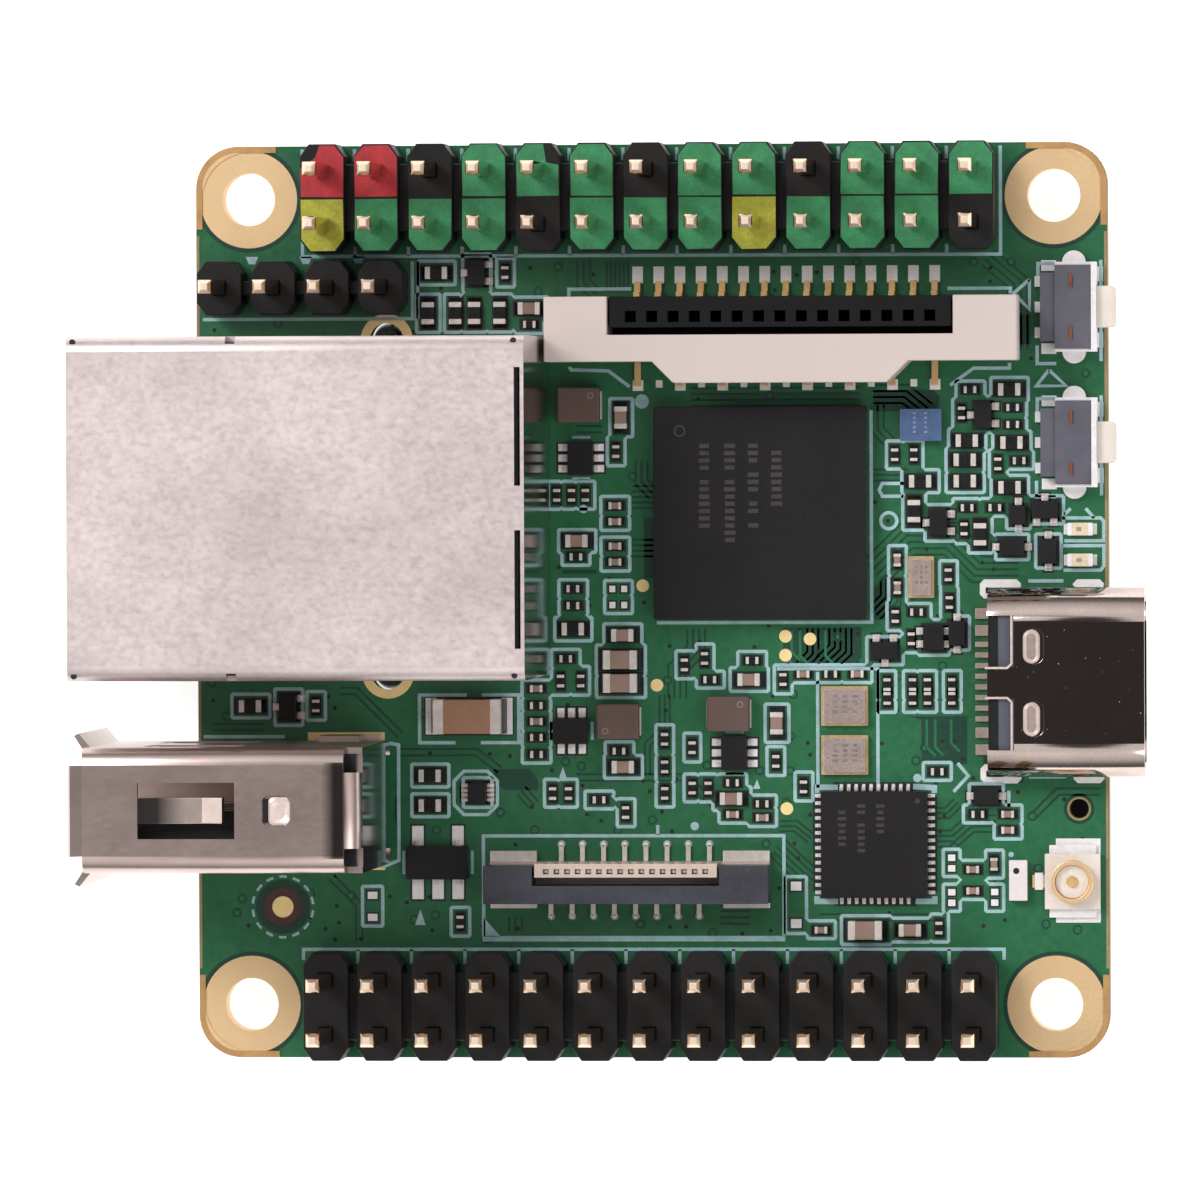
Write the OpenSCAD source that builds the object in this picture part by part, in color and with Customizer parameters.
// Single board computer, 43 mm square, with Ethernet, USB-A, USB-C, two flat-cable
// connectors, two 2 x 13 pin headers and a 1 x 4 pin header.
// Origin: centre of the four mounting holes, on the underside of the board. +Z is up
// out of the component side, +X towards the USB-C socket, +Y towards the painted header.

/* [Board] */
// Side of the square board, mm
board_side = 43; // [42.6:0.1:43.6]
// Thickness of the laminate, mm
board_t = 1.6; // [1.4:0.1:1.8]
// Radius of the board's corners, mm
board_corner_r = 2; // [1:0.25:2.3]
// Spacing of the mounting holes, mm
hole_spacing = 38; // [37.6:0.1:38.2]
// Finished diameter of a mounting hole, mm
mount_hole_d = 2.5; // [2.2:0.1:2.8]
// Outer diameter of the gold ring round a mounting hole, mm
mount_ring_d = 4.8; // [4:0.1:4.8]

/* [Pin headers] */
// Pitch of every pin header, mm
pin_pitch = 2.54; // [2.54:0.01:2.54]
// Columns of each two-row header
gpio_columns = 13; // [4:1:13]
// Distance of each two-row header from the board's centre, mm
gpio_y = 19; // [19:0.05:19.1]
// Width across a square pin, mm
pin_w = 0.64; // [0.5:0.02:0.7]
// Height of a pin's tip above the board, mm
pin_tip_h = 8.54; // [7:0.1:9]
// Height of the header's plastic, mm
header_h = 2.54; // [2:0.1:3]
// Length of a tail under the board, mm
tail_len = 1.4; // [1.3:0.1:2]

/* [Ethernet socket] */
// Length of the metal shell, mm
lan_l = 21.2; // [20.5:0.05:21.4]
// Width of the metal shell, mm
lan_w = 15.9; // [15.7:0.1:16.1]
// Height of the metal shell above the board, mm
lan_h = 13.4; // [13:0.1:13.8]

/* [USB-A socket] */
// Length of the metal shell, mm
usb_a_l = 13.55; // [13:0.05:14]
// Thickness of the shell, across the board, mm
usb_a_w = 5.8; // [5.7:0.05:5.9]
// Height of the shell above the board, mm
usb_a_h = 13.9; // [13.4:0.1:14.4]

/* [USB-C socket] */
// Length of the metal shell, mm
usb_c_l = 7.35; // [7:0.05:7.6]
// Width of the shell, mm
usb_c_w = 8.9; // [8.8:0.02:9]
// Height of the shell above the board, mm
usb_c_h = 3.2; // [3.1:0.05:3.4]

/* [Moving parts] */
// Travel of each push button, mm
button_travel = 0.25; // [0.15:0.05:0.25]
// Height of the display connector's latch above the board, mm
display_latch_h = 4.6; // [4.2:0.1:5]
// Height of the camera connector's latch above the board, mm
camera_latch_h = 3; // [2.8:0.1:3.4]

/* [Hidden] */
$fn = 48;

top = board_t;
hole_at = hole_spacing / 2;
plate_t = 0.05;
row_gap = pin_pitch / 2;

function grid(n, pitch) = [for (i = [0 : n - 1]) (i - (n - 1) / 2) * pitch];

// ---- Shared shapes ----

// A block on (x, y), standing on z.
module block(x, y, z, size) {
    translate([x - size.x / 2, y - size.y / 2, z]) cube(size);
}

module rounded_square(w, l, r) {
    square([w - 2 * r, l], center = true);
    square([w, l - 2 * r], center = true);
    for (sx = [-1, 1], sy = [-1, 1])
        translate([sx * (w / 2 - r), sy * (l / 2 - r)]) circle(r);
}

// A Y-Z outline drawn along X from x0 to x1.
module along_x(x0, x1) {
    translate([x0, 0, 0]) rotate([90, 0, 90]) linear_extrude(x1 - x0) children();
}

// An X-Z outline drawn along Y from y0 to y1.
module along_y(y0, y1) {
    translate([0, y1, 0]) rotate([90, 0, 0]) linear_extrude(y1 - y0) children();
}

module drill(x, y, d) {
    translate([x, y, -1]) cylinder(h = board_t + 2, d = d);
}

module drill_slot(x, y, w, l) {
    translate([x, y, -1]) linear_extrude(board_t + 2) rounded_square(w, l, min(w, l) / 2 - 0.001);
}

// ---- Circuit board ----

// Places of the plated holes: Ethernet, USB-A and USB-C.
lan_x1 = -4.8;
lan_x0 = lan_x1 - lan_l;
lan_y = 4.5;
lan_tab_x = -12.5;
lan_tab_y = 7.9;
lan_tail_pitch = 2.03;
lan_tail_rows = [-7.6, -10.1];
usb_a_x1 = -12.35;
usb_a_x0 = usb_a_x1 - usb_a_l;
usb_a_y = -9.4;
usb_a_leg_x = -14.5;
usb_a_tail_x = -13.6;
usb_c_x0 = 15.95;
usb_c_x1 = usb_c_x0 + usb_c_l;
usb_c_y = -3.82;
usb_c_leg_x = [16.35, 20.6];
power_header_x = -16.33;
power_header_y = 14.8;

module circuit_board() color("#1f6b41") difference() {
    linear_extrude(board_t) rounded_square(board_side, board_side, board_corner_r);
    for (sx = [-1, 1], sy = [-1, 1]) {
        drill(sx * hole_at, sy * hole_at, mount_hole_d + 2 * plate_t);
        translate([sx * hole_at, sy * hole_at, board_t - plate_t]) cylinder(h = 1, d = mount_ring_d);
        translate([sx * hole_at, sy * hole_at, plate_t - 1]) cylinder(h = 1, d = mount_ring_d);
    }
    for (side = [-1, 1], x = grid(gpio_columns, pin_pitch), row = [-1, 1])
        drill(x, side * gpio_y + row * row_gap, 1);
    for (x = grid(4, pin_pitch)) drill(power_header_x + x, power_header_y, 1);
    for (row = [0, 1], i = [0 : 4])
        drill(lan_tail_rows[row], lan_y + (i - 2 + row / 2 - 0.25) * lan_tail_pitch, 0.9);
    for (side = [-1, 1]) {
        drill(lan_tab_x, lan_y + side * lan_tab_y, 1.6);
        drill(-15.2, lan_y + side * 5.7, 3.2);
    }
    for (y = grid(4, 2)) drill(usb_a_tail_x, usb_a_y + y * 0.6, 0.8);
    for (side = [-1, 1]) drill_slot(usb_a_leg_x, usb_a_y + side * (usb_a_w / 2 + 0.2), 2.4, 0.9);
    for (x = usb_c_leg_x, side = [-1, 1]) drill_slot(x, usb_c_y + side * 4.3, 1.4, 0.7);
    drill(20.1, -9.8, 0.9);
}

module mounting_hole_plating() color("#e0b878")
    for (sx = [-1, 1], sy = [-1, 1]) translate([sx * hole_at, sy * hole_at, 0]) difference() {
        union() {
            cylinder(h = board_t, d = mount_hole_d + 2 * plate_t);
            cylinder(h = plate_t, d = mount_ring_d);
            translate([0, 0, board_t - plate_t]) cylinder(h = plate_t, d = mount_ring_d);
        }
        translate([0, 0, -1]) cylinder(h = board_t + 2, d = mount_hole_d);
    }

// ---- Pin headers ----

column_w = 2.12;
column_cut = 0.42;

// Outline of one column of plastic, with its corners cut.
module column_outline(l) {
    w = column_w / 2;
    h = l / 2;
    cut_y = 0.58;
    polygon([
        [w, h - cut_y], [w - column_cut, h], [column_cut - w, h], [-w, h - cut_y],
        [-w, cut_y - h], [column_cut - w, -h], [w - column_cut, -h], [w, cut_y - h]
    ]);
}

module header_body(columns, rows) difference() {
    l = rows * pin_pitch;
    union() {
        for (x = grid(columns, pin_pitch)) translate([x, 0, top])
            linear_extrude(header_h) column_outline(l);
        block(0, 0, top + 0.3, [(columns - 1) * pin_pitch, l - 1.9, header_h - 0.8]);
    }
    for (x = grid(columns, pin_pitch), y = grid(rows, pin_pitch))
        block(x, y, 0, [pin_w, pin_w, 9]);
}

// A square pin with both ends pointed on all four sides.
module header_pin() {
    w = pin_w / 2;
    n = 0.16;
    p = 0.3;
    outline = [
        [-n, -tail_len], [n, -tail_len], [w, p - tail_len], [w, top + pin_tip_h - p],
        [n, top + pin_tip_h], [-n, top + pin_tip_h], [-w, top + pin_tip_h - p], [-w, p - tail_len]
    ];
    intersection() {
        along_x(-w, w) polygon(outline);
        along_y(-w, w) polygon(outline);
    }
}

module header_pins(columns, rows)
    for (x = grid(columns, pin_pitch), y = grid(rows, pin_pitch)) translate([x, y, 0]) header_pin();

module gpio_header_a_body() color("#2f9e58") translate([0, gpio_y, 0]) header_body(gpio_columns, 2);
module gpio_header_a_pins() color("#e3c38d") translate([0, gpio_y, 0]) header_pins(gpio_columns, 2);
module gpio_header_b_body() color("#242427") translate([0, -gpio_y, 0]) header_body(gpio_columns, 2);
module gpio_header_b_pins() color("#e3c38d") translate([0, -gpio_y, 0]) header_pins(gpio_columns, 2);
module power_header_body() color("#242427")
    translate([power_header_x, power_header_y, 0]) header_body(4, 1);
module power_header_pins() color("#e3c38d")
    translate([power_header_x, power_header_y, 0]) header_pins(4, 1);

// ---- Ethernet socket ----

lan_t = 0.25;
lan_top = top + lan_h;
lan_bend_r = 0.7;
lan_stand_off = 0.2;
plug_w = 11.9;
plug_z0 = top + 4.7;
plug_z1 = plug_z0 + 6.9;
plug_back = lan_x0 + 13.2;
latch_slots = [[6.4, 1.2], [4.2, 2.6]];
pipe_w = 2.6;
pipe_h = 3;
pipe_y = 4.9;

module lan_outline(shrink) {
    w = lan_w / 2 - shrink;
    r = lan_bend_r - shrink;
    translate([lan_y - w, top + lan_stand_off]) square([2 * w, lan_h - lan_stand_off - shrink - r]);
    translate([lan_y - w + r, top + lan_stand_off]) square([2 * w - 2 * r, lan_h - lan_stand_off - shrink]);
    for (side = [-1, 1]) translate([lan_y + side * (w - r), lan_top - shrink - r]) circle(r);
}

// Bent sheet: top, sides, rear wall and a front frame round the opening.
module ethernet_shell() color("#cfc6c4") {
    difference() {
        along_x(lan_x0, lan_x1) lan_outline(0);
        along_x(lan_x0 + lan_t, lan_x1 - lan_t) lan_outline(lan_t);
        block(lan_x0, lan_y, 0, [2, lan_w - 2 * 1.1, lan_top - 1.3]);
        block(0.5 * (lan_x0 + lan_x1), lan_y, 0,
            [lan_l - 2 * lan_t, lan_w - 2 * lan_t, top + lan_stand_off + 0.3]);
        for (side = [-1, 1]) {
            block(lan_x1 - 0.31, lan_y + side * 3.75, lan_top - 0.6, [0.28, 5.45, 1]);
            block(lan_x0 + 7.6, lan_y + side * lan_w / 2, lan_top - 1, [0.45, 0.7, 2]);
        }
    }
    for (side = [-1, 1]) {
        block(lan_tab_x, lan_y + side * (lan_w / 2 - lan_t / 2), -1.2,
            [1.1, lan_t, top + 1.2 + lan_stand_off + 0.1]);
        block(lan_x0 + 4, lan_y + side * (lan_w / 2 - lan_t / 2), top + 0.05,
            [2, lan_t, lan_stand_off]);
    }
}

// Plastic insert: block with the plug's cavity, the key slots and a rear chamber.
module ethernet_housing() color("#1e1e20") {
    w = lan_w - 2 * lan_t;
    difference() {
        along_x(lan_x0 + lan_t, lan_x1 - lan_t - 0.05) intersection() {
            lan_outline(lan_t);
            translate([lan_y - w / 2, top]) square([w, lan_h]);
        }
        translate([lan_x0 - 1, lan_y - plug_w / 2, plug_z0])
            cube([plug_back - lan_x0 + 1, plug_w, plug_z1 - plug_z0]);
        for (s = latch_slots) translate([lan_x0 - 1, lan_y - s[0] / 2, plug_z0 - s[1]])
            cube([9, s[0], s[1] + 0.1]);
        for (side = [-1, 1])
            block(lan_x0 + 4, lan_y + side * pipe_y, top + 1, [12, pipe_w, pipe_h]);
        translate([plug_back + 0.8, lan_y - 6.8, top + 0.4])
            cube([lan_x1 - plug_back - 2, 13.6, lan_h - 1.9]);
        translate([lan_x0 + 4.5, lan_y - 4.3, plug_z1 - 0.1]) cube([plug_back - lan_x0 - 3.7, 8.6, 0.75]);
    }
    for (side = [-1, 1]) translate([-15.2, lan_y + side * 5.7, -1]) cylinder(h = top + 1.3, d = 3);
}

// Eight springs that slope down and back into the plug's cavity, and ten board tails.
module ethernet_contacts() color("#e3c38d") {
    ethernet_tails();
    for (y = grid(8, 1.02)) along_y(lan_y + y - 0.17, lan_y + y + 0.17) polygon([
        [plug_back + 0.8, plug_z1 + 0.25], [plug_back + 0.8, plug_z1 + 0.5], [lan_x0 + 5, plug_z1 + 0.5],
        [lan_x0 + 4.7, plug_z1 + 0.2], [lan_x0 + 8.6, plug_z1 - 1.5], [lan_x0 + 8.8, plug_z1 - 1.3],
        [lan_x0 + 5.6, plug_z1 + 0.12], [lan_x0 + 5.7, plug_z1 + 0.25]
    ]);
}

// Block of magnetics in the rear chamber, with four wound rings.
module ethernet_transformer() color("#7a4a2c") {
    x = plug_back + 0.8 + (lan_x1 - plug_back - 2) / 2;
    block(x, lan_y, top + 0.4, [4.8, 13.4, 3]);
    for (y = grid(4, 3.3)) translate([x, lan_y + y, top + 5.25]) rotate([90, 0, 0])
        rotate_extrude() translate([1.35, 0]) square([1, 1.8], center = true);
}

module ethernet_light_pipes() color("#d8d8cc")
    for (side = [-1, 1])
        block(lan_x0 + lan_t + 4.75, lan_y + side * pipe_y, top + 1,
            [9.5, pipe_w - 0.1, pipe_h]);

module ethernet_tails()
    for (row = [0, 1], i = [0 : 4])
        block(lan_tail_rows[row], lan_y + (i - 2 + row / 2 - 0.25) * lan_tail_pitch, -1.2,
            [0.5, 0.5, top + 1.2 + lan_stand_off]);

// ---- USB-A socket, standing on its long edge ----

usb_a_t = 0.3;
usb_a_lift = 0.35;
usb_a_mouth = 0.62;
usb_a_bend_r = 0.8;
flare = 0.65;

// Y-Z ring of the shell.
module usb_a_ring() difference() {
    w = usb_a_w / 2;
    z0 = top + usb_a_lift;
    z1 = top + usb_a_h;
    translate([usb_a_y, (z0 + z1) / 2]) rounded_square(2 * w, z1 - z0, 0.8);
    translate([usb_a_y, (z0 + z1) / 2])
        rounded_square(2 * w - 2 * usb_a_t, z1 - z0 - 2 * usb_a_t, 0.5);
}

// A flared lip on one side wall: an X-Y outline standing from z0 to z1.
module usb_a_side_lip(side) {
    y = usb_a_y + side * usb_a_w / 2;
    translate([0, 0, top + usb_a_lift + 1.5]) linear_extrude(usb_a_h - usb_a_lift - 3) polygon([
        [usb_a_x0 + usb_a_mouth + 0.8, y], [usb_a_x0 + usb_a_mouth + 0.8, y - side * usb_a_t],
        [usb_a_x0 + usb_a_mouth, y - side * usb_a_t], [usb_a_x0 + 0.08, y + side * (flare - 0.12)],
        [usb_a_x0 + 0.3, y + side * flare], [usb_a_x0 + usb_a_mouth + 0.22, y]
    ]);
}

module usb_a_top_lip() {
    z = top + usb_a_h;
    along_y(usb_a_y - 2.1, usb_a_y + 2.1) polygon([
        [usb_a_x0 + usb_a_mouth, z - usb_a_t], [usb_a_x0 + usb_a_mouth, z],
        [usb_a_x0 + 0.12, z + 0.42], [usb_a_x0, z + 0.22]
    ]);
}

module usb_a_shell() color("#c9c6c4") {
    y = usb_a_y;
    difference() {
        along_x(usb_a_x0 + usb_a_mouth, usb_a_x1) usb_a_ring();
        block(usb_a_x0 + 5.45, y, top + usb_a_h - 1, [4.5, 2.6, 2]);
        for (side = [-1, 1], z = [top + 4.2, top + 10.2])
            block(usb_a_x0 + 5.45, y + side * usb_a_w / 2, z - 1.3, [4.5, 1, 2.6]);
        block(usb_a_x1 - usb_a_bend_r / 2, y, top + usb_a_h - usb_a_bend_r, [usb_a_bend_r + 0.01, 9, 2]);
        translate([usb_a_x0 + 9.6, y, top + usb_a_h - 0.15]) linear_extrude(1)
            rounded_square(1.25, 1.4, 0.3);
        block(usb_a_x1 - 1.35, y, 0, [3.5, usb_a_w - 1.4, top + usb_a_lift + usb_a_t + 0.1]);
    }
    block(usb_a_x1 - usb_a_t / 2, y, top + 2.6,
        [usb_a_t, usb_a_w - 2 * usb_a_t, usb_a_h - 2.6 - 1]);
    along_y(y - 1.75, y + 1.75) usb_a_rear_bend();
    usb_a_top_lip();
    for (side = [-1, 1]) {
        usb_a_side_lip(side);
        block(usb_a_leg_x, y + side * (usb_a_w / 2 + 0.13), -1.1, [1.9, 0.26, top + 1.1 + 3]);
    }
}

// Where the top wall folds down over the rear: an X-Z quarter turn and a short wall.
module usb_a_rear_bend() {
    x = usb_a_x1 - usb_a_bend_r;
    z = top + usb_a_h - usb_a_bend_r;
    intersection() {
        translate([x, z]) difference() {
            circle(usb_a_bend_r);
            circle(usb_a_bend_r - usb_a_t);
        }
        translate([x - 0.02, z - 0.02]) square(2);
    }
    translate([x - 0.1, top + usb_a_h - usb_a_t]) square([0.12, usb_a_t]);
    translate([usb_a_x1 - usb_a_t, z - 1]) square([usb_a_t, 1.01]);
}

// Five fingers, one in each window, bowed inwards.
module usb_a_spring_fingers() color("#c9c6c4") {
    along_y(usb_a_y - 0.6, usb_a_y + 0.6) translate([0, top + usb_a_h]) spring_finger(1);
    for (side = [-1, 1], z = [top + 4.2, top + 10.2])
        translate([0, usb_a_y + side * usb_a_w / 2, z - 0.6]) linear_extrude(1.2)
            spring_finger(side);
}

// Side view of a spring finger, which meets the front of its window.
module spring_finger(side) {
    x = usb_a_x0 + 3.2;
    polygon([
        [x, 0], [x, -side * usb_a_t], [x + 0.3, -side * usb_a_t], [x + 3, -side * 0.75],
        [x + 4, -side * 0.4], [x + 3.9, -side * 0.15], [x + 2.95, -side * 0.45], [x + 0.3, 0]
    ]);
}

usb_a_tongue_y = usb_a_y - 1;
usb_a_inner_z0 = top + usb_a_lift + usb_a_t;
usb_a_inner_z1 = top + usb_a_h - usb_a_t;

// Rear block and tongue, slotted for the four contacts.
module usb_a_insulator() color("#1c1c1e") {
    zc = (usb_a_inner_z0 + usb_a_inner_z1) / 2;
    difference() {
        union() {
            along_x(usb_a_x1 - usb_a_t - 2.8, usb_a_x1 - usb_a_t) translate([usb_a_y, zc])
                rounded_square(usb_a_w - 2 * usb_a_t, usb_a_inner_z1 - usb_a_inner_z0, 0.5);
            block(usb_a_x0 + 6.2, usb_a_tongue_y, zc - 5.55, [9.2, 1.85, 11.1]);
        }
        for (z = [-3.5, -1, 1, 3.5])
            block(usb_a_x0 + 6.7, usb_a_tongue_y + 0.85, zc + z - 0.55, [8.4, 0.4, 1.1]);
        block(usb_a_x1 - 1.9, usb_a_y, 0, [2, usb_a_w - 1.6, usb_a_inner_z0 + 0.6]);
        block(usb_a_x1 - usb_a_bend_r / 2, usb_a_y, top + usb_a_h - usb_a_bend_r - 0.02,
            [usb_a_bend_r + 0.02, 9, 2]);
    }
}

module usb_a_contacts() color("#e3c38d") {
    zc = (usb_a_inner_z0 + usb_a_inner_z1) / 2;
    for (i = [0 : 3]) {
        z = zc + [-3.5, -1, 1, 3.5][i];
        block(usb_a_x0 + 6.2, usb_a_tongue_y + 0.79, z - 0.45, [7, 0.26, 0.9]);
        block(usb_a_tail_x, usb_a_y + (i - 1.5) * 1.2, -1.1, [0.3, 0.5, top + 1.1 + 0.9]);
    }
}

// ---- USB-C socket ----

usb_c_t = 0.28;

module usb_c_outline(shrink) {
    r = usb_c_h / 2 - shrink;
    w = usb_c_w / 2 - usb_c_h / 2;
    for (side = [-1, 1]) translate([usb_c_y + side * w, top + usb_c_h / 2]) circle(r);
    translate([usb_c_y - w, top + usb_c_h / 2 - r]) square([2 * w, 2 * r]);
}

module usb_c_shell() color("#8f8f93") difference() {
    union() {
        along_x(usb_c_x0, usb_c_x1) usb_c_outline(0);
        for (x = usb_c_leg_x, side = [-1, 1]) {
            block(x, usb_c_y + side * 4.3, -0.9, [1.1, 0.28, top + 0.9 + 1.2]);
        }
        block(usb_c_x0 + 0.14, usb_c_y, top + 0.4, [0.28, 7.4, usb_c_h - 0.8]);
    }
    along_x(usb_c_x0 + 0.28, usb_c_x1 + 1) usb_c_outline(usb_c_t);
    for (side = [-1, 1]) {
        block(usb_c_x0 + 0.6, usb_c_y + side * 1.95, top + 2, [1.3, 2.4, 3]);
        translate([usb_c_x0 + 2.22, usb_c_y + side * 1.7, top + usb_c_h - 0.12])
            linear_extrude(1) rounded_square(0.85, 1.65, 0.42);
    }
}

usb_c_mid = top + usb_c_h / 2;

module usb_c_insulator() color("#3a3a3d") difference() {
    union() {
        along_x(usb_c_x0 + 0.3, usb_c_x0 + 2) usb_c_outline(usb_c_t);
        block(usb_c_x0 + 4.2, usb_c_y, usb_c_mid - 0.35, [4.5, 6.7, 0.7]);
    }
    for (y = grid(12, 0.5), side = [-1, 1])
        block(usb_c_x0 + 4.2, usb_c_y + y, usb_c_mid + side * 0.3 - 0.05, [4, 0.26, 0.1]);
}

module usb_c_contacts() color("#e3c38d") {
    for (y = grid(12, 0.5), side = [-1, 1])
        block(usb_c_x0 + 4.2, usb_c_y + y, usb_c_mid + side * 0.3 - 0.05, [3.9, 0.25, 0.1]);
    for (y = grid(8, 0.5)) block(usb_c_x0 - 0.35, usb_c_y + y, top, [0.7, 0.25, 0.2]);
    for (side = [-1, 1], y = [2.4, 3.2])
        block(usb_c_x0 - 0.35, usb_c_y + side * y, top, [0.7, 0.5, 0.2]);
}

// ---- Display flat-cable connector, 15 contacts at 1 mm, with a lifting latch ----

dsp_x = 6.4;
dsp_comb_w = 16;
dsp_latch_w = 22.1;
dsp_ear_w = 3;
dsp_y1 = 14.3;
dsp_comb_y0 = 12.85;
dsp_y0 = 10.25;
dsp_base_h = 1.3;

module display_connector_housing() color("#1f1f22") difference() {
    union() {
        block(dsp_x, (dsp_y1 + 11.4) / 2, top, [dsp_latch_w - 0.6, dsp_y1 - 11.4, dsp_base_h]);
        block(dsp_x, (dsp_y1 + dsp_comb_y0) / 2, top,
            [dsp_comb_w, dsp_y1 - dsp_comb_y0, display_latch_h - 0.25]);
    }
    for (x = grid(15, 1))
        block(dsp_x + x, dsp_y1 - 0.6, top + 0.5, [0.5, 1.2, display_latch_h]);
    for (side = [-1, 1])
        block(dsp_x + side * (dsp_latch_w / 2 - 1.5), 12.9, top + 0.2, [1.1, 1.3, dsp_base_h]);
}

// U-shaped slider: a bar behind the cable slot and an ear at each end.
module display_connector_latch() color("#dccfc4") {
    z0 = top + dsp_base_h + 0.1;
    h = display_latch_h - dsp_base_h - 0.1;
    translate([dsp_x, 0, z0]) linear_extrude(h) difference() {
        polygon([
            [-dsp_latch_w / 2, dsp_y1], [-dsp_latch_w / 2, dsp_y0 + 1], [-6, dsp_y0 + 1],
            [-5, dsp_y0], [5, dsp_y0], [6, dsp_y0 + 1],
            [dsp_latch_w / 2, dsp_y0 + 1], [dsp_latch_w / 2, dsp_y1]
        ]);
        translate([-dsp_comb_w / 2 - 0.08, dsp_comb_y0 - 0.35])
            square([dsp_comb_w + 0.16, 3]);
    }
    for (side = [-1, 1])
        block(dsp_x + side * (dsp_latch_w / 2 - 1.5), 12.9, top + 0.3, [1, 1.2, dsp_base_h]);
}

// A lead inside each slot of the comb, a foot at the rear and tails on the cable side.
module display_connector_contacts() color("#e3c38d") {
    z1 = top + display_latch_h - 0.8;
    for (x = grid(15, 1)) along_x(dsp_x + x - 0.15, dsp_x + x + 0.15) polygon([
        [dsp_y1 + 0.75, top], [dsp_y1 + 0.75, top + 0.25], [dsp_y1 + 0.25, top + 0.25],
        [dsp_y1 + 0.25, top + 0.75], [dsp_y1 - 0.2, top + 0.75], [dsp_y1 - 0.2, z1],
        [dsp_y1 - 0.5, z1], [dsp_y1 - 0.5, top + 0.5], [dsp_y1, top + 0.5], [dsp_y1, top]
    ]);
    for (x = grid(8, 2)) block(dsp_x + x, 10.75, top, [0.3, 1.3, 0.25]);
}

// ---- Camera flat-cable connector, 16 contacts at 0.5 mm, with a lifting latch ----

cam_x = -1.05;
cam_w = 13.4;
cam_wall_w = 8.6;
cam_y1 = -12.25;
cam_y0 = -14.15;
cam_base_h = 0.7;

module camera_connector_housing() color("#cbb9a4") difference() {
    union() {
        block(cam_x, (cam_y1 + cam_y0) / 2, top, [cam_w - 0.2, cam_y1 - cam_y0, cam_base_h]);
        block(cam_x, cam_y1 - 0.33, top, [cam_wall_w, 0.66, camera_latch_h - 0.1]);
    }
    for (x = grid(16, 0.5)) block(cam_x + x, cam_y1 - 0.25, top + 0.9, [0.26, 0.5, 9]);
}

module camera_connector_latch() color("#232325")
    translate([cam_x, 0, top + cam_base_h + 0.1])
        linear_extrude(camera_latch_h - cam_base_h - 0.1) difference() {
            translate([-cam_w / 2, cam_y0]) square([cam_w, cam_y1 - cam_y0 - 0.12]);
            translate([-cam_wall_w / 2 - 0.1, cam_y0 + 0.85]) square([cam_wall_w + 0.2, 4]);
        }

module camera_connector_contacts() color("#e8dcc8") {
    for (x = grid(16, 0.5)) block(cam_x + x, cam_y1 - 0.38, top + 0.9, [0.2, 0.16, camera_latch_h - 1.2]);
    for (x = grid(8, 1)) {
        block(cam_x + x + 0.25, cam_y1 + 0.4, top, [0.22, 0.8, 0.2]);
        block(cam_x + x - 0.25, cam_y0 - 0.35, top, [0.22, 0.7, 0.2]);
    }
}

module camera_connector_solder_tabs() color("#d9d9dc")
    for (side = [-1, 1]) {
        block(cam_x + side * 5.5, cam_y1 + 0.25, top, [2.2, 0.5, 0.4]);
        block(cam_x + side * 5.5, cam_y0 - 0.15, top, [2.2, 0.3, 0.3]);
    }

// ---- Processor and wireless chip ----

cpu_x = 5.2;
cpu_y = 4.15;
cpu_w = 10;
ball_h = 0.25;
wifi_x = 10.5;
wifi_y = -11.45;

module processor_package() color("#2a2b2e") {
    block(cpu_x, cpu_y, top + ball_h, [cpu_w, cpu_w, 1]);
}

module processor_solder_balls() color("#c4c4c8")
    for (x = grid(11, 0.8), y = grid(11, 0.8)) if (max(abs(x), abs(y)) > 2.9)
        translate([cpu_x + x, cpu_y + y, top]) cylinder(h = ball_h, d = 0.4);

module wireless_chip() color("#25262a") block(wifi_x, wifi_y, top + 0.05, [5, 5, 0.85]);

module wireless_chip_leads() color("#c9c3b8") {
    for (side = [-1, 1]) {
        for (y = grid(14, 0.35)) block(wifi_x + side * 2.6, wifi_y + y, top, [0.2, 0.18, 0.2]);
        for (x = grid(10, 0.35)) block(wifi_x + x, wifi_y + side * 2.6, top, [0.18, 0.2, 0.2]);
    }
    block(wifi_x, wifi_y, top, [3.4, 3.4, 0.05]);
}

// ---- Coaxial antenna socket and its filter ----

ant_x = 19.8;
ant_y = -13.2;

module antenna_socket_base() color("#e6e4de") difference() {
    union() {
        block(ant_x, ant_y, top + 0.1, [2.6, 2.6, 0.45]);
        translate([ant_x, ant_y, top + 0.5]) cylinder(h = 0.45, d = 1.56);
    }
    translate([ant_x, ant_y, 0]) cylinder(h = 9, d = 0.5);
}

module antenna_socket_ring() color("#d8c9a6") {
    translate([ant_x, ant_y, top + 0.55]) difference() {
        cylinder(h = 0.75, d = 2);
        translate([0, 0, -1]) cylinder(h = 3, d = 1.6);
    }
    for (side = [-1, 1]) block(ant_x, ant_y + side * 1.5, top, [2.2, 0.4, 0.25]);
}

module antenna_socket_pin() color("#e0b060") {
    translate([ant_x, ant_y, top + 0.1]) cylinder(h = 1, d = 0.5);
    block(ant_x - 1.6, ant_y, top, [0.6, 0.6, 0.2]);
}

module antenna_filter() color("#ece9e2") block(17.25, -13.15, top, [0.85, 1.9, 0.6]);

// ---- Side push switches ----

switch_y = [13.75, 7.4];
switch_h = 1.7;
switch_w = 4.2;
switch_x0 = 18.4;
switch_x1 = 20.8;
plunger_w = 1.95;
plunger_h = 0.9;
plunger_z = top + 0.4;
plunger_rest_x = 21.95;
dome_x = switch_x1 - 1.6;
plunger_back_x = dome_x + 0.4 + button_travel;
slide_gap = 0.05;

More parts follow.
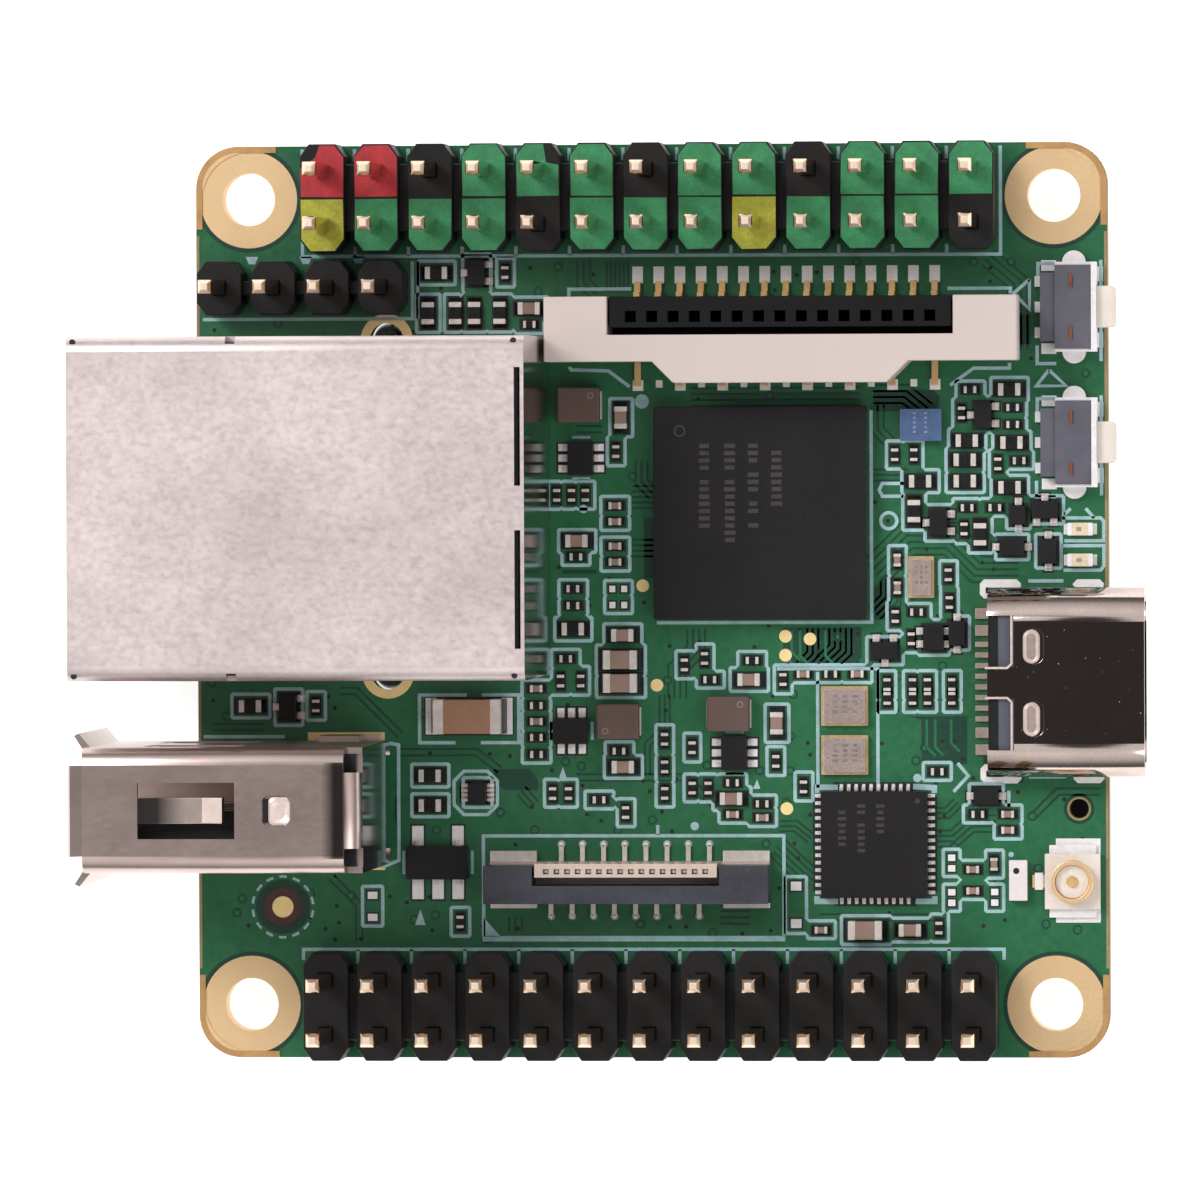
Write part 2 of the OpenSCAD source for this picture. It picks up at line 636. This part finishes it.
module switch_body(y) difference() {
    union() {
        block((switch_x0 + 0.7 + switch_x1) / 2, y, top,
            [switch_x1 - switch_x0 - 0.7, switch_w - 0.3, switch_h - 0.1]);
        block(switch_x0 + 0.4, y, top, [0.8, 3.2, switch_h - 0.3]);
    }
    block(switch_x1 - 0.5, y, plunger_z - slide_gap,
        [2.2, plunger_w + 2 * slide_gap, plunger_h + 2 * slide_gap]);
}

// Pressed metal frame: a front wall round the plunger, a wall and a round foot at each
// side, and three leads behind the body.
module switch_frame(y) difference() {
    union() {
        block(switch_x1 + 0.12, y, top, [0.24, switch_w, switch_h]);
        for (side = [-1, 1]) {
            block(switch_x1 - 0.85, y + side * (switch_w / 2 - 0.07), top, [1.7, 0.14, switch_h - 0.3]);
            translate([switch_x1 - 0.85, y + side * switch_w / 2, top]) cylinder(h = 0.35, d = 1.1);
        }
        for (i = [-1 : 1]) block(switch_x0 - 0.15, y + i * 1.2, top, [0.3, 0.5, 0.3]);
    }
    block(switch_x1 - 1.2, y, top - 1, [2.4, switch_w - 0.28, 3]);
    block(switch_x1, y, plunger_z - slide_gap,
        [3, plunger_w + 2 * slide_gap, plunger_h + 2 * slide_gap]);
}

module switch_plunger(y)
    translate([plunger_back_x, y - plunger_w / 2, plunger_z])
        cube([plunger_rest_x - plunger_back_x, plunger_w, plunger_h]);

// Snap dome on edge behind the plunger.
module switch_dome(y)
    translate([dome_x, y, plunger_z + plunger_h / 2]) intersection() {
        rotate([0, 90, 0]) rotate_extrude() polygon([
            [0, 0.3], [0.45, 0.22], [0.85, 0], [0.95, 0], [0.95, 0.08], [0.87, 0.08], [0.45, 0.3], [0, 0.38]
        ]);
        cube([3, 3, plunger_h], center = true);
    }

module reset_switch_body() color("#7d8a92") switch_body(switch_y[0]);
module reset_switch_frame() color("#e2e0dd") switch_frame(switch_y[0]);
module reset_switch_plunger() color("#e4ddc8") switch_plunger(switch_y[0]);
module reset_switch_dome() color("#d0ccc0") switch_dome(switch_y[0]);
module recovery_switch_body() color("#7d8a92") switch_body(switch_y[1]);
module recovery_switch_frame() color("#e2e0dd") switch_frame(switch_y[1]);
module recovery_switch_plunger() color("#e4ddc8") switch_plunger(switch_y[1]);
module recovery_switch_dome() color("#d0ccc0") switch_dome(switch_y[1]);

// ---- Small parts, by kind. Each place is [x, y] of the part's centre ----

// Sizes are [length, width, height, terminal length].
size_0201 = [0.6, 0.3, 0.25, 0.15];
size_0402 = [1.05, 0.55, 0.4, 0.25];
size_0402c = [1.05, 0.55, 0.55, 0.25];
size_0603 = [1.6, 0.85, 0.8, 0.35];
size_1206 = [3.2, 1.6, 1.3, 0.5];
size_coil = [2.1, 1.65, 1, 0.3];

// Resistors along X and along Y, 1.0 x 0.5 mm.
res_0402_x = [
    [-10.1, 15.5], [16.9, 9.9], [14.9, 7.5], [14.8, 6.6], [14.8, 5.6], [17, 7.4], [16.9, 5.3],
    [12.7, 5.6], [-3.7, -1.3], [-10.5, -8.2], [-10.5, -9.6], [-19, -4.9]
];
res_0402_y = [
    [-10.5, 13.6], [-9.2, 13.6], [-8.3, 13.6], [-7.1, 13.6], [12.4, 4.2], [15.5, 3.1]
];

// Resistors along X and along Y, 0.6 x 0.3 mm.
res_0201_x = [
    [-5.7, 13.05], [15.05, 9.9], [17.05, 9.05], [17.05, 8.25], [17.35, 6.55], [14.9, 4.35],
    [16.2, 4.35], [12.5, -0.55], [-3.55, 2.1], [-3.7, 0.6], [-3.7, -0.2], [-4.05, -2.7],
    [-5.45, -4.9], [-5.45, -6.4], [-5.45, -7.2], [-1.55, -7.05], [-2.5, -9.35], [2.75, -3.7],
    [4.75, -2.8], [8.45, -3.45], [3.8, -8.55], [5.2, -9.55], [13.45, -8.05], [15.35, -10.05]
];
res_0201_y = [
    [-6.85, 15.5], [-1.65, 7.05], [14.65, 8.8], [16.35, 6.4], [11.5, 6.85], [12.4, 6.85],
    [14.75, 3.35], [14, 1.2], [14.05, -0.1], [11.5, -0.75], [12.25, -1.8], [-4.3, -3.75],
    [-3.35, -3.75], [0.6, -6.5], [0.6, -7.8], [0.6, -9.05], [-4.7, -9.05], [-3.95, -9.05],
    [-1.25, -9.95], [1.55, -3], [2.5, -2.7], [6.2, -3.7], [1.9, -6.9], [5.85, -7.55],
    [1.9, -8.8], [2.65, -8.8], [7.15, -8.75], [-9.1, -15.1], [13.5, -15.4], [-4.45, 5],
    [-3.75, 5], [-3.1, 5], [-15.9, -4.9], [11.1, -3.95], [11.1, -4.6], [12.3, -3.95],
    [12.3, -4.6], [13, -3.95], [13, -4.6], [14.15, -3.95], [14.15, -4.6]
];

// Ceramic capacitors.
cap_0402_x = [
    [-5.7, 13.8], [-3.5, 2.85], [-1.35, -1.6], [-1.35, -7.8], [4.6, -3.7], [12.15, -15.5],
    [3.75, -9.3]
];
cap_0402_y = [[-1.4, 8.65], [5.9, -5.75]];
cap_0603_x = [[-1.45, -2.75], [-1.45, -3.85], [10.05, -15.5]];
cap_1206_x = [[-8.65, -5.4]];
cap_0201_x = [
    [-1.7, 4.5], [-1.7, 3.75], [-1.7, 2.6], [-1.7, 1.85], [-5.45, -4.1], [-5.45, -5.65],
    [7.15, -3.45], [9.7, -3.45], [3.8, -10.05], [5.2, -10.2], [7.95, -15.5], [16.75, -10.05],
    [16.75, -10.8], [15.1, -12.65], [15.1, -13.65]
];
cap_0201_y = [[11.6, 1.9], [11.6, 0.6], [16.1, -12.4]];

coil_x = [[-3.35, 9.25], [-1.55, -5.65], [3.65, -5.3]];

// The part between the two terminals.
module chip_core(size) translate([0, 0, top + 0.02])
    block(0, 0, 0, [size[0] - 2 * size[3], size[1], size[2]]);

module chip_ends(size)
    for (side = [-1, 1])
        block(side * (size[0] - size[3]) / 2, 0, top, [size[3], size[1] + 0.04, size[2] + 0.04]);

// Puts the children at every place, turned by angle.
module at_each(places, angle) for (p = places) translate([p.x, p.y, 0]) rotate([0, 0, angle]) children();

module chip_resistors() color("#222226") {
    at_each(res_0402_x, 0) chip_core(size_0402);
    at_each(res_0402_y, 90) chip_core(size_0402);
    at_each(res_0201_x, 0) chip_core(size_0201);
    at_each(res_0201_y, 90) chip_core(size_0201);
}

module ceramic_capacitors() color("#a08a78") {
    at_each(cap_0402_x, 0) chip_core(size_0402c);
    at_each(cap_0402_y, 90) chip_core(size_0402c);
    at_each(cap_0603_x, 0) chip_core(size_0603);
    at_each(cap_1206_x, 0) chip_core(size_1206);
    at_each(cap_0201_x, 0) chip_core(size_0201);
    at_each(cap_0201_y, 90) chip_core(size_0201);
}

// A moulded coil stands on two terminals let into the underside of its ends.
module coil_core() difference() {
    block(0, 0, top + 0.02, [size_coil[0] - 0.1, size_coil[1], size_coil[2]]);
    coil_ends();
}

module coil_ends() for (side = [-1, 1])
    block(side * (size_coil[0] - size_coil[3]) / 2, 0, top, [size_coil[3], size_coil[1] - 0.3, 0.4]);

module inductors() color("#5b4440") at_each(coil_x, 0) coil_core();

module chip_terminals() color("#cdc8c2") {
    at_each(res_0402_x, 0) chip_ends(size_0402);
    at_each(res_0402_y, 90) chip_ends(size_0402);
    at_each(concat(res_0201_x, cap_0201_x), 0) chip_ends(size_0201);
    at_each(concat(res_0201_y, cap_0201_y), 90) chip_ends(size_0201);
    at_each(cap_0402_x, 0) chip_ends(size_0402c);
    at_each(cap_0402_y, 90) chip_ends(size_0402c);
    at_each(cap_0603_x, 0) chip_ends(size_0603);
    at_each(cap_1206_x, 0) chip_ends(size_1206);
    at_each(coil_x, 0) coil_ends();
}

// Crystals: [x, y, width, length].
crystals = [[9.1, -4.95, 2.2, 1.85], [9.1, -7.25, 2.2, 1.85], [12.73, 1.1, 1.2, 1.95]];

module crystal_bases() color("#4c4540")
    for (c = crystals) block(c[0], c[1], top, [c[2], c[3], 0.35]);
module crystal_lids() color("#cfc9c1")
    for (c = crystals) block(c[0], c[1], top + 0.35, [c[2] - 0.25, c[3] - 0.25, 0.2]);

module balun_chip() color("#6d87a8") block(12.75, 8.25, top, [1.95, 1.5, 0.7]);

module status_leds() color("#efe6c4")
    for (y = [3.33, 1.88]) block(20.2, y, top, [1.2, 0.6, 0.45]);

// Small moulded packages: [x, y, turn, body width along the lead rows, body depth,
// leads on the +side, leads on the -side, lead pitch]. Leads leave along the turned Y.
packages = [
    [-3.3, 6.75, 90, 1.6, 1.2, 3, 3, 0.5], [-3.8, -6.1, 0, 1.6, 1.2, 3, 3, 0.5],
    [3.9, -7.15, 90, 1.6, 1.2, 3, 3, 0.5], [-10.15, -12.3, 0, 2.9, 1.55, 2, 3, 0.95],
    [-8.2, 15.5, 90, 1.2, 0.8, 1, 2, 0.8], [15.65, 8.7, 90, 1.2, 0.8, 1, 2, 0.8],
    [13.55, 3.65, 90, 1.2, 0.8, 1, 2, 0.8], [-17.2, -4.95, 90, 1.2, 0.8, 1, 2, 0.8],
    [18.55, 4.25, 0, 1.2, 0.8, 1, 2, 0.8], [11, -2.35, 180, 1.2, 0.8, 1, 2, 0.8],
    [-8.25, -9, 90, 0.9, 0.85, 4, 4, 0.22], [13.3, -1.75, 90, 1.15, 0.95, 2, 2, 0.6],
    [18.7, 2.3, 0, 0.75, 1.15, 1, 1, 1], [14.4, -1.55, 0, 0.75, 1.15, 1, 1, 1],
    [17.3, 4, 0, 0.7, 0.9, 1, 1, 1], [17, 2.5, 90, 0.75, 1.15, 1, 1, 1],
    [15.75, -9.2, 90, 0.75, 1.15, 1, 1, 1]
];

// Leads spread evenly, the outermost pair of a short row at the ends of the row.
function lead_row(n, pitch, full) =
    n == 1 ? [0] : n < full ? [-(full - 1) / 2 * pitch, (full - 1) / 2 * pitch] : grid(n, pitch);

module small_packages() color("#202124")
    for (p = packages) translate([p[0], p[1], 0]) rotate([0, 0, p[2]])
        block(0, 0, top + 0.1, [p[3], p[4], 0.55]);

module small_package_leads() color("#c9c5c0")
    for (p = packages) translate([p[0], p[1], 0]) rotate([0, 0, p[2]]) {
        full = max(p[5], p[6]);
        w = min(0.3, p[7] * 0.55);
        for (x = lead_row(p[5], p[7], full)) block(x, p[4] / 2 + 0.13, top, [w, 0.26, 0.2]);
        for (x = lead_row(p[6], p[7], full)) block(x, -p[4] / 2 - 0.13, top, [w, 0.26, 0.2]);
    }

// ---- Underside: card socket, flash chip and boot selector ----

card_x0 = 6.5;
card_x1 = 20.9;
card_y = 9.3;
card_w = 13.8;
card_h = 1.3;
card_t = 0.15;

module card_socket_shell() color("#c3c0bd") difference() {
    block((card_x0 + card_x1) / 2, card_y, -card_h, [card_x1 - card_x0, card_w, card_h - 0.05]);
    block((card_x0 + card_x1) / 2 + 1, card_y, card_t - card_h,
        [card_x1 - card_x0 + 2 - 2 * card_t, card_w - 2 * card_t, card_h]);
    block(card_x0 + 3, card_y + 3.5, -card_h - 1, [1.2, 2.4, 2]);
    block(card_x0 + 7, card_y - 2, -card_h - 1, [3, 0.8, 2]);
    block(card_x0 + 7, card_y + 2, -card_h - 1, [3, 0.8, 2]);
}

module card_socket_housing() color("#26262a") difference() {
    block((card_x0 + card_x1) / 2, card_y, card_t - card_h,
        [card_x1 - card_x0 - 2 * card_t - 0.1, card_w - 2 * card_t, card_h - card_t]);
    block(card_x0 + 9.2, card_y - 0.4, card_t - card_h - 0.1, [14, 11.1, 0.85]);
    for (y = grid(8, 1.1)) block(card_x0 + 4.2, card_y + y - 0.4, 0.7 - card_h, [4.4, 0.6, 0.4]);
}

module card_socket_contacts() color("#e3c38d")
    for (y = grid(8, 1.1)) along_y(card_y + y - 0.6, card_y + y - 0.2) polygon([
        [card_x0 + 2, -0.35], [card_x0 + 6.2, -0.45], [card_x0 + 6.3, -0.55],
        [card_x0 + 4.6, -0.85], [card_x0 + 3.6, -0.6], [card_x0 + 2, -0.5]
    ]);

flash_x = 1;
flash_y = -8;

module flash_chip() color("#232427") block(flash_x, flash_y, -0.9, [6, 8, 0.8]);
module flash_chip_leads() color("#c9c5c0")
    for (y = grid(4, 1.27), side = [-1, 1])
        block(flash_x + side * 3.25, flash_y + y, -0.3, [0.5, 0.4, 0.3]);

selector_x = 12;
selector_y = -12.6;
selector_travel = 1.5;

module boot_selector_body() color("#b9b6b2") difference() {
    block(selector_x, selector_y, -0.95, [6.6, 2.7, 0.95]);
    block(selector_x, selector_y, -1.5, [1.3 + selector_travel + 0.1, 1.1, 1.1]);
}

module boot_selector_knob() color("#efefec")
    block(selector_x - selector_travel / 2, selector_y, -1.35, [1.3, 1, 0.9]);

circuit_board();
mounting_hole_plating();
gpio_header_a_body();
gpio_header_a_pins();
gpio_header_b_body();
gpio_header_b_pins();
power_header_body();
power_header_pins();
ethernet_shell();
ethernet_housing();
ethernet_contacts();
ethernet_transformer();
ethernet_light_pipes();
usb_a_shell();
usb_a_spring_fingers();
usb_a_insulator();
usb_a_contacts();
usb_c_shell();
usb_c_insulator();
usb_c_contacts();
display_connector_housing();
display_connector_latch();
display_connector_contacts();
camera_connector_housing();
camera_connector_latch();
camera_connector_contacts();
camera_connector_solder_tabs();
processor_package();
processor_solder_balls();
wireless_chip();
wireless_chip_leads();
antenna_socket_base();
antenna_socket_ring();
antenna_socket_pin();
antenna_filter();
reset_switch_body();
reset_switch_frame();
reset_switch_plunger();
reset_switch_dome();
recovery_switch_body();
recovery_switch_frame();
recovery_switch_plunger();
recovery_switch_dome();
status_leds();
crystal_bases();
crystal_lids();
balun_chip();
inductors();
ceramic_capacitors();
chip_resistors();
chip_terminals();
small_packages();
small_package_leads();
card_socket_shell();
card_socket_housing();
card_socket_contacts();
flash_chip();
flash_chip_leads();
boot_selector_body();
boot_selector_knob();
